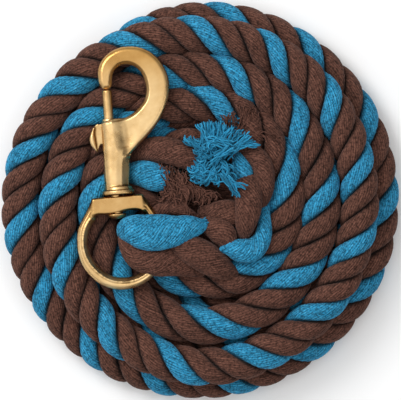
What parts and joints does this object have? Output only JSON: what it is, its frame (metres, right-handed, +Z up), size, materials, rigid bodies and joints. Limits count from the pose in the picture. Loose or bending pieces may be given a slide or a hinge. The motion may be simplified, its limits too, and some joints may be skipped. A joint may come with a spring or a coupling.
{
  "type": "lead rope",
  "caption": "Coiled laid cotton lead rope in brown and blue, its eye spliced to the ring of a swivelling brass bolt snap that lies on the coil.",
  "frame": {"origin": "middle of the coil's underside, on the surface that it lies on", "axes": "+Z up; seen from above with +X to the right and +Y up the page, the snap lies to the left of the middle with its hook towards +Y"},
  "size_m": [0.1884, 0.1884, 0.0466],
  "materials": {
    "brown_cotton": "soft twisted cotton, dark brown",
    "blue_cotton": "soft twisted cotton, bright blue",
    "twine": "natural waxed whipping twine",
    "cast_brass": "satin tumbled brass with darker recesses",
    "spring_wire": "bright spring wire"
  },
  "bodies": {
    "rope": {"rope_lower_coil": "brown_cotton", "rope_upper_coil": "brown_cotton", "rope_splice": "brown_cotton", "rope_inner_turn": "brown_cotton", "rope_tail": "brown_cotton", "tail_whipping": "twine", "rope_eye": "blue_cotton", "blue_strand_end": "blue_cotton", "brown_strand_end_inner": "brown_cotton", "brown_strand_end_outer": "brown_cotton"},
    "ring": {"swivel_eye": "cast_brass"},
    "snap": {"snap_body": "cast_brass", "bolt_spring": "spring_wire"},
    "bolt": {"bolt": "cast_brass", "thumb_button": "cast_brass"}
  },
  "joints": [
    {"name": "eye_hinge", "type": "hinge", "parent": "rope", "child": "ring", "pos_m": [-0.02034, -0.02266, 0.036], "axis": [0.0698, 0.9976, 0], "range_deg": [0, 100], "deforming": ["rope_eye"]},
    {"name": "snap_swivel", "type": "hinge", "parent": "ring", "child": "snap", "pos_m": [-0.0397, -0.00145, 0.036], "axis": [0.0698, -0.9976, 0], "continuous": true, "deforming": ["rope_upper_coil", "rope_lower_coil"]},
    {"name": "bolt_slide", "type": "slide", "parent": "snap", "child": "bolt", "axis": [0.0698, -0.9976, 0], "range_m": [0, 0.012], "stiffness_N_per_m": 400, "springref_m": -0.008, "deforming": ["bolt_spring"]}
  ]
}
